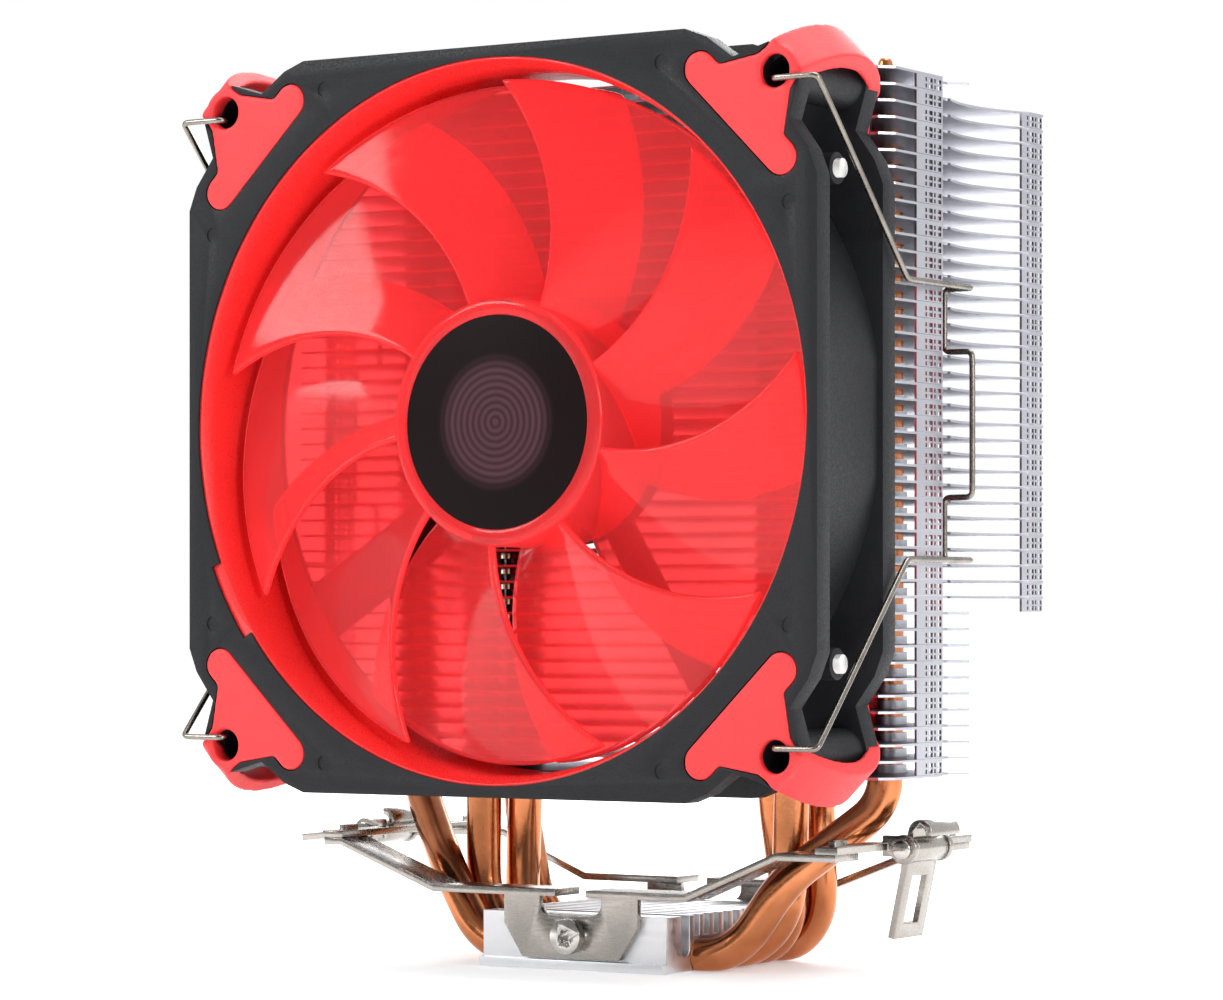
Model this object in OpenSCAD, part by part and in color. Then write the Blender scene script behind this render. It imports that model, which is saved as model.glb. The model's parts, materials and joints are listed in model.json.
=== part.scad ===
// Tower cooler for a processor: four U-shaped heat pipes carry the heat of a small base block
// up into a stack of fins, and a fan that two wire clips hold blows through the stack.
// The origin is the middle of the contact face. X runs along the pipes in the base, Y runs
// with the air from the fan into the fins, and Z points up.

/* [Base] */
// Length of the base block along the pipes
base_l = 35.8; // [30:0.5:43]
// Width of the base block across the pipes
base_w = 44; // [37:0.5:52]
// Height of the cooling ribs on the base block
base_h = 9.2; // [8.8:0.1:9.8]

/* [Heat pipes] */
// Diameter of a heat pipe
pipe_d = 6; // [5:0.1:6.6]
// Distance between neighbouring pipes in the base block
pipe_pitch = 7.7; // [6.8:0.1:8.6]
// How far the sealed tips stand above the top fin
tip_h = 4.2; // [2:0.1:6]

/* [Fins] */
// Height of the lowest fin above the contact face
fin_bottom = 32.3; // [31:0.1:38]
// Distance between neighbouring fins
fin_pitch = 2.615; // [2.2:0.005:3.14]
// Thickness of a fin
fin_t = 0.4; // [0.3:0.05:0.6]
// Number of short fins at the bottom
low_fins = 11; // [4:1:14]
// Number of long fins
long_fins = 32; // [24:1:36]
// Depth of a long fin along the air flow
fin_depth = 56.5; // [50:0.5:66]

/* [Fan] */
// Width and height of the fan
fan_size = 120; // [112:1:144]
// Depth of the fan
fan_depth = 25; // [22:0.5:30]
// Distance between a corner hole and the fan's two nearest sides
hole_inset = 7.5; // [7:0.1:8]
// Diameter of a corner hole
hole_d = 5.2; // [4.4:0.1:6.3]
// Number of fan blades
blades = 9; // [5:1:11]
// Diameter of the impeller's hub
hub_d = 40; // [38:0.5:44]

/* [Clips and brackets] */
// Diameter of the clip wire
wire_d = 1; // [0.8:0.05:1.2]
// Thickness of the bracket sheet
sheet_t = 1.2; // [1:0.05:1.3]
// Distance between the pivots of the two hooks
pivot_span = 106; // [104:0.5:112]
// Length of a hook below its pivot
hook_l = 14.9; // [12:0.1:18]
// Swing of the left hook away from hanging
left_swing = 84; // [0:1:88]
// Lean of the right hook inwards from hanging
right_lean = 12; // [0:1:12]

/* [Hidden] */
$fn = 72;
eps = 0.01;
far = 300;

// Base
pipe_r = pipe_d / 2;
pipe_z = pipe_r - 0.8;
rib_floor = pipe_z + pipe_r + 0.6;
rib_pitch = 3.1;
rib_gap = 1.6;
inner_gaps = 4;
edge_gap = 2.6;
edge_gap_y = base_w / 2 - 5.8;
edge_gap_floor = 2.5;
foot_w = 1.3;
foot_h = 1.6;
screw_z = 5.6;
screw_r = 1.5;
screw_l = 4.4;
screw_head_r = 2.9;
screw_head_h = 1.7;
drive_r = 0.95;
drive_lobe_r = 0.32;
drive_depth = 0.9;

// Heat pipes, the front one first: the corner past the block, any point on the way, and the
// place of the leg in the fins
pipe_run = [6.7, 12.3, 9.6, 10.1];
pipe_mids = [[[33, -10, 15]], [], [], []];
legs = [[46, 0.5], [30.4, -3.1], [24.8, 1.3], [29.6, 6.8]];
mid_setback = 5;
knee_setback = 4.5;
knee_z = fin_bottom - knee_setback - 0.3;
tip_r = 1.3;
tip_taper = 1.4;
tip_end = 0.5;

// Fins
fins = low_fins + long_fins + 1;
stack_h = (fins - 1) * fin_pitch + fin_t;
fin_top = fin_bottom + stack_h;
fin_half = fan_size / 2 - 2;
pad_proud = 1.8;
fan_front = -47.3;
fan_back = fan_front + fan_depth;
fin_front = fan_back + pad_proud;
fin_corner = 2;
tab_t = 0.4;
tab_gap = 0.05;
tab_front = fin_front + 9.2;
tab_w = 8.9;
groove_x = fin_half - 2.8;
groove_y = tab_front + tab_w + 4.6;
groove_w = 4.8;
rear_tab_l = 7.5;
fin_rear = fin_front + fin_depth;
rear_tab = fin_rear - 2.5 - rear_tab_l;
scoop_r = 30;
scoop_depth = 3.8;
short_side = groove_y + 4.7;
short_waist_x = 39.5;
short_waist_y = short_side + 11.7;
short_rear_y = short_waist_y + 5.4;

// Fan
fan_drop = 3.0775;
fan_z = fin_bottom + fan_size / 2 - fan_drop;
half = fan_size / 2;
hole_c = half - hole_inset;
flange_t = 4;
flat_half = half - 23.5;
shoulder = half - 19.6;
shoulder_drop = 1.5;
valley = half - 14.9;
valley_drop = 4.9;
ear_turn = 17;
ear_r = 4.6;
ear_root = hole_c - 6;
duct_r = half - 1.8;
duct_t = 1.5;
duct_lip = 0.4;
barrel_t = 1.5;
duct_flare = 2;
key_angle = 209;
key_half = 6.5;
key_w = 1.7;
key_depth = 3;
mark_r = 1.25;
mark_depth = 0.2;
mark_a = half - 27.7;
mark_b = half - 4.9;
strut_w = 4;
wide_strut_w = 9;
strut_t = 3.4;
first_strut = -58;
motor_r = hub_d / 2 - 0.5;
led_r = 1.5;
led_len = 8;
led_wall = 1;
led_x = half - 2.4;
led_z = half - 21.6;
led_root = sqrt(duct_r * duct_r - led_z * led_z);
led_y = fan_front + fan_depth / 2;

// Corner pads
lobe_r = 2.8;
lobe_a = half - 20.8;
lobe_b = half - 6.4;
pad_front = 0.2;
pad_inlay = 1.4;
pad_fit = 0.1;
way_d = 3.2;
ear_fit = 0.02;
ear_pad = 1.2;
strap_w = 7.6;
strap_t = 2.8;
strap_rise = 4.5;
strap_low = hole_c * sqrt(2) + 3.4;

// Impeller and motor
hub_r = hub_d / 2;
hub_front = fan_front + 2;
hub_rear = fan_back - 4.6;
hub_wall = 1.3;
hub_face = 1.6;
blade_tip = duct_r - duct_t - 1.7;
blade_t = 1.5;
blade_pitch = 38;
blade_chord = 24;
blade_front = fan_front + 2.4;
disc_r = hub_r - 2.8;
disc_t = 0.3;
cup_r = hub_r - hub_wall;
cup_t = 1;
cup_front = hub_front + hub_face;
cup_rear = hub_rear + 0.6;
magnet_t = 1.4;
shaft_r = 1.5;
shaft_rear = fan_back - 1.3;
run_gap = 0.05;
bearing_r = 3.2;
bearing_front = cup_front + 3.4;
bearing_rear = fan_back - 3.4;
tube_wall = 1;
ring_h = 0.6;
ring_r = 2.5;
pole_r = 15.8;
pole_count = 4;
pole_w = 6;
core_front = cup_front + 4.4;
core_h = 7.5;
yoke_r = 7;
shoe_t = 2.2;
coil_w = 9;
coil_r = 11.4;
coil_over = 1.4;
board_r = 15;
board_t = 1.2;
board_gap = 1.6;

// Wire clips
wire_r = wire_d / 2;
clip_x = half + 1;
clip_hole_x = hole_c + 0.2;
clip_hole_z = hole_c - 1.3;
clip_gap = 0.3;
clip_front = fan_front - pad_front - wire_r - clip_gap;
clip_peg = 2.2;
clip_reach = clip_x - 0.4;
clip_bend_y = fan_back + 2.3;
clip_bend_z = 22;
clip_handle_z = 11.8;
clip_setback = 1;

// Brackets, hooks and their pins
plate_half = 13;
plate_low = 1.9;
plate_chamfer_z = 7.4;
plate_chamfer_x = 3.6;
notch_half = 6;
notch_floor = 9;
notch_r = 2;
wing_z = 12;
wing_in = 3;
wing_flat = 22;
wing_knee = 39;
far_flat = 27.4;
far_knee = 46.4;
bend_shift = 0.3;
wing_rise = 7.2;
wing_back = 6.5;
pivot_x = pivot_span / 2;
pivot_z = wing_z + wing_rise + sheet_t + 0.2;
wing_out = pivot_x - 3.2;
end_in = pivot_x - 7;
end_out = pivot_x - 2.8;
end_z = wing_z + wing_rise + sheet_t;
slot_x = pivot_x - 5.2;
slot_l = 4;
slot_fit = 0.1;
tab_h = 0.9;
pin_r = 1;
pin_head_r = 1.6;
pin_head_t = 0.8;
lug_r = 2.4;
lug_in = 5.4;
hook_half = 5;
hook_barrel_r = 2.2;
hook_root = 1.6;
hook_t = 1.2;
window_l = 7.9;
window_w = 5.1;
window_low = 2.5;
thumb_l = 3;
curl_r = 1.6;
curl_gap = 0.6;
curl_way = thumb_l + curl_r + hook_t / 2 + curl_gap;

function unit(v) = v / norm(v);
function turn_at(path, i) =
    acos(unit(path[i] - path[i - 1]) * unit(path[i + 1] - path[i]));

// Places along a bent path, each with its direction: the ends, and an arc at each corner that
// starts one setback before it
function stations(path, setback, steps) = concat(
    [[path[0], unit(path[1] - path[0])]],
    [for (i = [1:len(path) - 2], k = [0:steps]) arc_station(path, i, setback[i], k / steps)],
    [[path[len(path) - 1], unit(path[len(path) - 1] - path[len(path) - 2])]]);

function arc_station(path, i, setback, part) = let(
    turn = turn_at(path, i),
    bend = setback / tan(turn / 2),
    ahead = unit(path[i] - path[i - 1]),
    next = unit(path[i + 1] - path[i]),
    inward = unit(next - ahead * (next * ahead)),
    centre = path[i] - ahead * setback + inward * bend,
    angle = turn * part)
    [centre + bend * (ahead * sin(angle) - inward * cos(angle)),
        ahead * cos(angle) + inward * sin(angle)];

// Sideways direction at each station, carried along without twist
function sideways(spots, first) = [
    for (i = 0, n = first; i < len(spots);
        i = i + 1, n = i < len(spots) ? unit(n - spots[i][1] * (n * spots[i][1])) : n) n];

// Closed round bar through the stations, with a radius for each; nothing of it goes below z_min
module swept_bar(spots, radii, first, sides, z_min) {
    side = sideways(spots, first);
    points = [
        for (i = [0:len(spots) - 1], j = [0:sides - 1])
            let(a = j * 360 / sides,
                p = spots[i][0] + radii[i] * (side[i] * cos(a)
                    + cross(spots[i][1], side[i]) * sin(a)))
                [p[0], p[1], max(p[2], z_min)]];
    skin = [
        for (i = [0:len(spots) - 2], j = [0:sides - 1])
            let(k = (j + 1) % sides)
                [i * sides + j, (i + 1) * sides + j, (i + 1) * sides + k, i * sides + k]];
    end = (len(spots) - 1) * sides;
    caps = [
        [for (j = [0:sides - 1]) j],
        [for (j = [sides - 1:-1:0]) end + j]];
    polyhedron(points = points, faces = concat(skin, caps), convexity = 10);
}

// Flat bar with two round ends
module capsule(p, q, r) {
    d = q - p;
    translate(p)
        rotate(atan2(d[1], d[0])) {
            translate([0, -r])
                square([norm(d), 2 * r]);
            circle(r);
            translate([norm(d), 0])
                circle(r);
        }
}

// Slab along Y whose outline is drawn in X and Z round the fan's axis
module fan_slab(front, depth) {
    translate([0, front + depth, fan_z])
        rotate([90, 0, 0])
            linear_extrude(depth)
                children();
}

// Round bar along Y through a place given in X and Z
module y_bar(x, z, front, depth, r) {
    translate([x, front, z])
        rotate([-90, 0, 0])
            cylinder(h = depth, r = r);
}

module y_tube(front, depth, r, bore) {
    difference() {
        y_bar(0, fan_z, front, depth, r);
        y_bar(0, fan_z, front - eps, depth + 2 * eps, bore);
    }
}

module both_sides() {
    children();
    mirror([1, 0, 0])
        children();
}

module four_corners() {
    for (x = [0, 1], z = [0, 1])
        mirror([x, 0])
            mirror([0, z])
                children();
}

// Base block: an extrusion along X, with a bore for each pipe and ribs on top
module base_outline() {
    difference() {
        union() {
            translate([-base_w / 2, 0])
                square([base_w, base_h]);
            translate([-base_w / 2 - foot_w, 0])
                square([base_w + 2 * foot_w, foot_h]);
        }
        for (i = [0:3])
            translate([pipe_y(i), pipe_z])
                circle(pipe_r);
        for (i = [-inner_gaps:inner_gaps])
            translate([i * rib_pitch - rib_gap / 2, rib_floor])
                square([rib_gap, base_h]);
        for (side = [-1, 1])
            translate([side * edge_gap_y, edge_gap_floor + edge_gap / 2]) {
                circle(edge_gap / 2);
                translate([-edge_gap / 2, 0])
                    square([edge_gap, base_h]);
            }
    }
}

function pipe_y(i) = (i - 1.5) * pipe_pitch;

module base_block() {
    color("gainsboro")
        difference() {
            translate([-base_l / 2, 0, 0])
                rotate([90, 0, 90])
                    linear_extrude(base_l)
                        base_outline();
            for (side = [-1, 1])
                y_bar(0, screw_z, side < 0 ? -base_w / 2 - eps : base_w / 2 - screw_l,
                    screw_l + eps, screw_r);
        }
}

// One heat pipe: straight in the block and flush with its underside, then bent up, out and
// upright again into the fins, with a drawn and sealed tip at each end
module heat_pipe(i) {
    leg = legs[i];
    half_path = concat(
        [[base_l / 2 + pipe_run[i], pipe_y(i), pipe_z]],
        pipe_mids[i],
        [[leg[0], leg[1], knee_z], [leg[0], leg[1], fin_top]]);
    half_setback = concat(
        [pipe_run[i]],
        [for (m = pipe_mids[i]) mid_setback],
        [knee_setback, 0]);
    last = len(half_path) - 1;
    flipped = [for (k = [last:-1:0]) [-half_path[k][0], half_path[k][1], half_path[k][2]]];
    flipped_setback = [for (k = [last:-1:0]) half_setback[k]];
    bent = stations(concat(flipped, half_path), concat(flipped_setback, half_setback), 7);
    tips = [[tip_taper, tip_r], [tip_h - tip_end, tip_r], [tip_h, tip_r / 2]];
    spots = concat(
        [for (k = [2:-1:0]) [[-leg[0], leg[1], fin_top + tips[k][0]], [0, 0, -1]]],
        bent,
        [for (k = [0:2]) [[leg[0], leg[1], fin_top + tips[k][0]], [0, 0, 1]]]);
    radii = concat(
        [for (k = [2:-1:0]) tips[k][1]],
        [for (s = bent) pipe_r],
        [for (k = [0:2]) tips[k][1]]);
    color("peru")
        swept_bar(spots, radii, [0, 1, 0], 24, 0);
}

// Fins
module leg_holes() {
    for (leg = legs, side = [-1, 1])
        translate([side * leg[0], leg[1]])
            circle(pipe_r);
}

module long_half() {
    difference() {
        polygon([
            [0, fin_front],
            [fin_half - fin_corner, fin_front],
            [fin_half, fin_front + fin_corner],
            [fin_half, tab_front + tab_w],
            [groove_x, groove_y - groove_w / 2 - 1.2],
            [groove_x, groove_y + groove_w / 2],
            [fin_half - 1.2, groove_y + groove_w / 2 + 0.6],
            [fin_half, rear_tab],
            [fin_half, fin_rear - fin_corner],
            [fin_half - fin_corner, fin_rear],
            [0, fin_rear]]);
        translate([fin_half - scoop_depth + scoop_r, (groove_y + rear_tab) / 2])
            circle(scoop_r, $fn = 96);
    }
}

module short_half() {
    polygon([
        [0, fin_front],
        [fin_half - fin_corner, fin_front],
        [fin_half, fin_front + fin_corner],
        [fin_half, tab_front + tab_w],
        [groove_x, groove_y - groove_w / 2 - 1.2],
        [groove_x, groove_y + groove_w / 2],
        [fin_half, short_side],
        [short_waist_x, short_waist_y],
        [0, short_rear_y]]);
}

module fin_tab(y, w) {
    h = fin_pitch - fin_t - tab_gap;
    translate([fin_half - tab_t, y, -h])
        cube([tab_t, w, h + eps]);
}

module long_fin() {
    linear_extrude(fin_t)
        difference() {
            both_sides()
                long_half();
            leg_holes();
        }
    both_sides() {
        fin_tab(tab_front, tab_w);
        fin_tab(rear_tab, rear_tab_l);
    }
}

module short_fin(tabbed) {
    linear_extrude(fin_t)
        difference() {
            both_sides()
                short_half();
            leg_holes();
        }
    if (tabbed)
        both_sides()
            fin_tab(tab_front, tab_w);
}

function fin_z(i) = fin_bottom + i * fin_pitch;

module low_fin_stack() {
    color("silver")
        for (i = [0:low_fins - 1])
            translate([0, 0, fin_z(i)])
                short_fin(i > 0);
}

module long_fin_stack() {
    color("lightgray")
        for (i = [0:long_fins - 1])
            translate([0, 0, fin_z(low_fins + i)])
                long_fin();
}

module top_fin() {
    color("silver")
        translate([0, 0, fin_z(fins - 1)])
            short_fin(true);
}

// Fan frame
module flange_outline() {
    four_corners() {
        square([half, flat_half]);
        polygon([
            [0, 0],
            [0, half],
            [flat_half, half],
            [shoulder, half - shoulder_drop],
            [valley, half - valley_drop],
            [hole_c - ear_r * sin(ear_turn), hole_c + ear_r * cos(ear_turn)],
            [hole_c + ear_r * cos(ear_turn), hole_c - ear_r * sin(ear_turn)],
            [half - valley_drop, valley],
            [half - shoulder_drop, shoulder],
            [half, flat_half],
            [half, 0]]);
        ear(ear_r);
    }
}

// Bar out to a corner hole, with a round end
module ear(r) {
    capsule([ear_root, ear_root], [hole_c, hole_c], r);
}

module key_sector(r) {
    polygon([
        [0, 0],
        [r * cos(key_angle - key_half), r * sin(key_angle - key_half)],
        [r * cos(key_angle), r * sin(key_angle)],
        [r * cos(key_angle + key_half), r * sin(key_angle + key_half)]]);
}

module key_outline(r) {
    intersection() {
        circle(r, $fn = 96);
        key_sector(2 * r);
    }
}

// Outline of a corner pad: two lobes with a straight inner edge, drawn in to the hole
module pad_outline(r) {
    k = (r + ear_pad) * sqrt(1 / 2);
    capsule([lobe_a, lobe_b], [lobe_b, lobe_a], r);
    translate([hole_c, hole_c])
        circle(r + ear_pad);
    polygon([
        [lobe_a, lobe_b],
        [lobe_b, lobe_a],
        [hole_c + k, hole_c - k],
        [hole_c - k, hole_c + k]]);
}

// Way that a pad's strap takes out past a corner hole
module strap_way(gap) {
    translate([hole_c, hole_c])
        rotate(45)
            translate([0, -strap_w / 2 - gap])
                square([2 * ear_r, strap_w + 2 * gap]);
}

module fan_frame() {
    color("#2b2e33") {
        difference() {
            union() {
                fan_slab(fan_front, flange_t)
                    flange_outline();
                fan_slab(fan_back - flange_t, flange_t)
                    flange_outline();
                fan_slab(fan_front + flange_t - eps, fan_depth - 2 * flange_t + 2 * eps)
                    intersection() {
                        circle(duct_r + barrel_t, $fn = 96);
                        square(2 * half - 2, center = true);
                    }
                fan_slab(fan_front + flange_t - eps, fan_depth - 2 * flange_t + 2 * eps)
                    four_corners()
                        translate([hole_c, hole_c])
                            circle(ear_r - 0.6);
                both_sides()
                    for (side = [-1, 1])
                        translate([led_root, led_y, fan_z + side * led_z])
                            rotate([0, 90, 0])
                                cylinder(h = led_x - led_root - 1, r = led_r + led_wall);
            }
            y_bar(0, fan_z, fan_front - eps, fan_depth + 2 * eps, duct_r);
            fan_slab(fan_front - eps, fan_depth + 2 * eps)
                four_corners()
                    translate([hole_c, hole_c])
                        circle(hole_d / 2);
            fan_slab(fan_front - eps, pad_inlay + eps)
                four_corners()
                    pad_outline(lobe_r + pad_fit);
            fan_slab(fan_back - pad_inlay, pad_inlay + eps)
                four_corners()
                    pad_outline(lobe_r + pad_fit);
            fan_slab(fan_front - eps, way_d + eps)
                four_corners()
                    strap_way(pad_fit);
            fan_slab(fan_back - way_d, way_d + eps)
                four_corners()
                    strap_way(pad_fit);
            fan_slab(fan_front - eps, key_depth + eps)
                key_outline(duct_r + key_w);
            fan_slab(fan_front - eps, mark_depth + eps)
                four_corners() {
                    translate([mark_a, mark_b])
                        circle(mark_r);
                    translate([mark_b, mark_a])
                        circle(mark_r);
                }
            both_sides()
                for (side = [-1, 1])
                    translate([led_root - 3, led_y, fan_z + side * led_z])
                        rotate([0, 90, 0])
                            cylinder(h = led_x - led_root + 6, r = led_r);
        }
        motor_mount();
    }
}

// Plate behind the motor and the four struts that carry it
module motor_mount() {
    difference() {
        union() {
            y_bar(0, fan_z, fan_back - strut_t, strut_t, motor_r);
            fan_slab(fan_back - strut_t, strut_t)
                for (i = [0:3]) {
                    w = i == 3 ? wide_strut_w : strut_w;
                    rotate(first_strut + i * 90)
                        intersection() {
                            translate([0, -w / 2])
                                square([half, w]);
                            circle(duct_r + barrel_t / 2, $fn = 96);
                        }
                }
        }
        y_bar(0, fan_z, fan_back - strut_t - eps, strut_t - 1 + eps, bearing_r + tube_wall);
    }
}

// Red ring that lines the opening, flared at the front, with a key in the frame
module duct_ring() {
    r_in = duct_r - duct_t;
    color("#e82626")
        difference() {
            union() {
                y_bar(0, fan_z, fan_front + duct_lip, fan_depth - strut_t - duct_lip, duct_r);
                fan_slab(fan_front + duct_lip, key_depth - duct_lip)
                    key_outline(duct_r + key_w);
            }
            y_bar(0, fan_z, fan_front, fan_depth, r_in);
            translate([0, fan_front + duct_lip - eps, fan_z])
                rotate([-90, 0, 0])
                    cylinder(h = duct_flare * 2, r1 = duct_r - 0.4, r2 = r_in - 0.1);
        }
}

// Soft corner pad: front pad, rear pad, and the strap round the corner that joins them
module corner_pad(x, z) {
    mid = strap_low + strap_rise;
    chord = fan_depth / 2;
    arch = (chord * chord + strap_rise * strap_rise) / (2 * strap_rise);
    color("#ff5a5a")
        difference() {
            union() {
                pad_layer(x, z, fan_front - pad_front, pad_front + pad_inlay);
                pad_layer(x, z, fan_back - pad_inlay, pad_inlay + pad_proud);
                translate([0, 0, fan_z])
                    mirror([x, 0, 0])
                        mirror([0, 0, z])
                            rotate([0, -45, 0])
                                translate([mid - arch, fan_front + chord, 0])
                                    intersection() {
                                        translate([0, 0, -strap_w / 2])
                                            linear_extrude(strap_w)
                                                difference() {
                                                    circle(arch, $fn = 96);
                                                    circle(arch - strap_t, $fn = 96);
                                                }
                                        translate([arch - strap_rise - 1.5, -chord - pad_front, -far / 2])
                                            cube([far, fan_depth + pad_front + pad_proud, far]);
                                    }
            }
            fan_slab(fan_front - 1, fan_depth + pad_proud + 2)
                mirror([x, 0])
                    mirror([0, z])
                        translate([hole_c, hole_c])
                            circle(hole_d / 2);
            fan_slab(fan_front + pad_inlay, fan_depth - 2 * pad_inlay)
                mirror([x, 0])
                    mirror([0, z])
                        difference() {
                            ear(ear_r + ear_fit);
                            strap_way(0);
                        }
            fan_slab(fan_front + way_d, fan_depth - 2 * way_d)
                mirror([x, 0])
                    mirror([0, z])
                        ear(ear_r + ear_fit);
        }
}

module pad_layer(x, z, front, depth) {
    fan_slab(front, depth)
        mirror([x, 0])
            mirror([0, z])
                pad_outline(lobe_r);
}

// Lamps in the frame's sides
module leds() {
    color("white")
        both_sides()
            for (side = [-1, 1])
                translate([led_x - led_len, led_y, fan_z + side * led_z])
                    rotate([0, 90, 0]) {
                        cylinder(h = led_len, r = led_r);
                        sphere(led_r);
                    }
}

// Impeller and the motor parts that turn with it
module impeller() {
    color("#e83030") {
        difference() {
            y_bar(0, fan_z, hub_front, hub_rear - hub_front, hub_r);
            y_bar(0, fan_z, cup_front, fan_depth, cup_r);
            y_bar(0, fan_z, hub_front - eps, disc_t + eps, disc_r);
            y_bar(0, fan_z, hub_front, hub_face + 1, shaft_r);
        }
        for (i = [0:blades - 1])
            translate([0, 0, fan_z])
                rotate([0, i * 360 / blades, 0])
                    blade();
    }
}

module blade() {
    depth = blade_chord * sin(blade_pitch);
    intersection() {
        translate([0, blade_front + depth / 2, 0])
            rotate([0, 0, -blade_pitch])
                translate([-blade_t / 2, -blade_chord, hub_r - 0.6])
                    cube([blade_t, 2 * blade_chord, blade_tip]);
        translate([0, blade_front, 0])
            rotate([-90, 0, 0])
                difference() {
                    cylinder(h = depth, r = blade_tip);
                    translate([0, 0, -1])
                        cylinder(h = depth + 2, r = hub_r - 0.3);
                }
    }
}

module hub_disc() {
    color("#1f1414")
        y_bar(0, fan_z, hub_front, disc_t, disc_r);
}

module rotor_cup() {
    color("dimgray")
        difference() {
            y_bar(0, fan_z, cup_front, cup_rear - cup_front, cup_r);
            y_bar(0, fan_z, cup_front + cup_t, fan_depth, cup_r - cup_t);
            y_bar(0, fan_z, cup_front - eps, cup_t + 2 * eps, shaft_r);
        }
}

module magnet_ring() {
    color("#3a3a40")
        y_tube(cup_front + cup_t + 1, cup_rear - cup_front - cup_t - 2, cup_r - cup_t,
            cup_r - cup_t - magnet_t);
}

module shaft() {
    groove = shaft_rear - 1.2 - ring_h;
    color("lightsteelblue")
        difference() {
            y_bar(0, fan_z, hub_front + disc_t, shaft_rear - hub_front - disc_t, shaft_r);
            y_tube(groove, ring_h, shaft_r + 1, shaft_r - 0.4);
        }
}

module shaft_clip() {
    color("gray")
        y_tube(shaft_rear - 1.2 - ring_h, ring_h, ring_r, shaft_r - 0.4);
}

// Motor parts that stay still
module bearing() {
    color("goldenrod")
        y_tube(bearing_front, bearing_rear - bearing_front, bearing_r, shaft_r + run_gap);
}

module bearing_tube() {
    color("khaki")
        difference() {
            y_bar(0, fan_z, bearing_front, fan_back - 1 - bearing_front, bearing_r + tube_wall);
            y_bar(0, fan_z, bearing_front - eps, bearing_rear - bearing_front + eps, bearing_r);
            y_bar(0, fan_z, bearing_front, fan_depth, ring_r + 0.3);
        }
}

module stator_outline() {
    difference() {
        union() {
            circle(yoke_r);
            for (i = [0:pole_count - 1])
                rotate(i * 360 / pole_count) {
                    translate([0, -pole_w / 2])
                        square([pole_r - 1, pole_w]);
                    intersection() {
                        difference() {
                            circle(pole_r);
                            circle(pole_r - shoe_t);
                        }
                        translate([0, -pole_w * 1.4])
                            square([pole_r, pole_w * 2.8]);
                    }
                }
        }
        circle(bearing_r + tube_wall);
    }
}

module stator_core() {
    color("slategray")
        fan_slab(core_front, core_h)
            stator_outline();
}

module stator_coils() {
    color("chocolate")
        for (i = [0:pole_count - 1])
            translate([0, core_front - coil_over, fan_z])
                rotate([0, i * 360 / pole_count, 0])
                    difference() {
                        translate([yoke_r + 0.5, 0, -coil_w / 2])
                            cube([coil_r - yoke_r, core_h + 2 * coil_over, coil_w]);
                        translate([0, coil_over, -pole_w / 2])
                            cube([pole_r, core_h, pole_w]);
                    }
}

module circuit_board() {
    color("darkgreen")
        y_tube(core_front + core_h + coil_over + board_gap, board_t, board_r,
            bearing_r + tube_wall);
}

// Wire clip: a peg in an upper and a lower corner hole, two arms, and a bar with a finger loop
module wire_clip() {
    upper = [
        [clip_hole_x, clip_front + clip_peg, clip_hole_z],
        [clip_hole_x, clip_front, clip_hole_z],
        [clip_reach, clip_front, clip_hole_z],
        [clip_x, clip_bend_y, clip_bend_z],
        [clip_x, groove_y, clip_bend_z],
        [groove_x + wire_r + 0.2, groove_y, clip_bend_z],
        [groove_x + wire_r + 0.2, groove_y, clip_handle_z],
        [clip_x, groove_y, clip_handle_z]];
    lower = [for (k = [len(upper) - 1:-1:0]) [upper[k][0], upper[k][1], -upper[k][2]]];
    path = concat(upper, lower);
    setback = [for (k = [0:len(path) - 1]) k == 0 || k == len(path) - 1 ? 0 : clip_setback];
    spots = stations(path, setback, 4);
    translate([0, 0, fan_z])
        swept_bar(spots, [for (s = spots) wire_r], [1, 0, 0], 8, -fan_z);
}

module wire_clip_right() {
    color("silver")
        wire_clip();
}

module wire_clip_left() {
    color("silver")
        mirror([1, 0, 0])
            wire_clip();
}

// Bracket: an upright plate screwed to the block, and a wing each way that rises at its own
// place to the end plate
module bracket() {
    difference() {
        union() {
            translate([0, -base_w / 2, 0])
                rotate([90, 0, 0])
                    linear_extrude(sheet_t)
                        plate_outline();
            wing(wing_flat, wing_knee);
            mirror([1, 0, 0])
                wing(far_flat, far_knee);
        }
        y_bar(0, screw_z, -base_w / 2 - sheet_t - eps, sheet_t + 2 * eps, screw_r);
    }
}

module plate_outline() {
    difference() {
        polygon([
            [plate_chamfer_x - plate_half, plate_low],
            [plate_half - plate_chamfer_x, plate_low],
            [plate_half, plate_chamfer_z],
            [plate_half, wing_z],
            [-plate_half, wing_z],
            [-plate_half, plate_chamfer_z]]);
        capsule([notch_r - notch_half, notch_floor + notch_r],
            [notch_half - notch_r, notch_floor + notch_r], notch_r);
        translate([-notch_half, notch_floor + notch_r])
            square([2 * notch_half, base_h]);
    }
}

module wing(flat, knee) {
    top = wing_z + wing_rise;
    translate([0, wing_back - base_w / 2, 0])
        rotate([90, 0, 0])
            linear_extrude(wing_back + sheet_t)
                polygon([
                    [wing_in, wing_z],
                    [flat, wing_z],
                    [knee, top],
                    [wing_out, top],
                    [wing_out, top + sheet_t],
                    [knee - bend_shift, top + sheet_t],
                    [flat - bend_shift, wing_z + sheet_t],
                    [wing_in, wing_z + sheet_t]]);
    translate([slot_x - sheet_t / 2, wing_back / 2 - base_w / 2 - slot_l / 2, top])
        cube([sheet_t, slot_l, 2 * sheet_t + tab_h]);
}

module front_bracket() {
    color("#9a9592")
        bracket();
}

module rear_bracket() {
    color("#9a9592")
        rotate([0, 0, 180])
            bracket();
}

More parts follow.
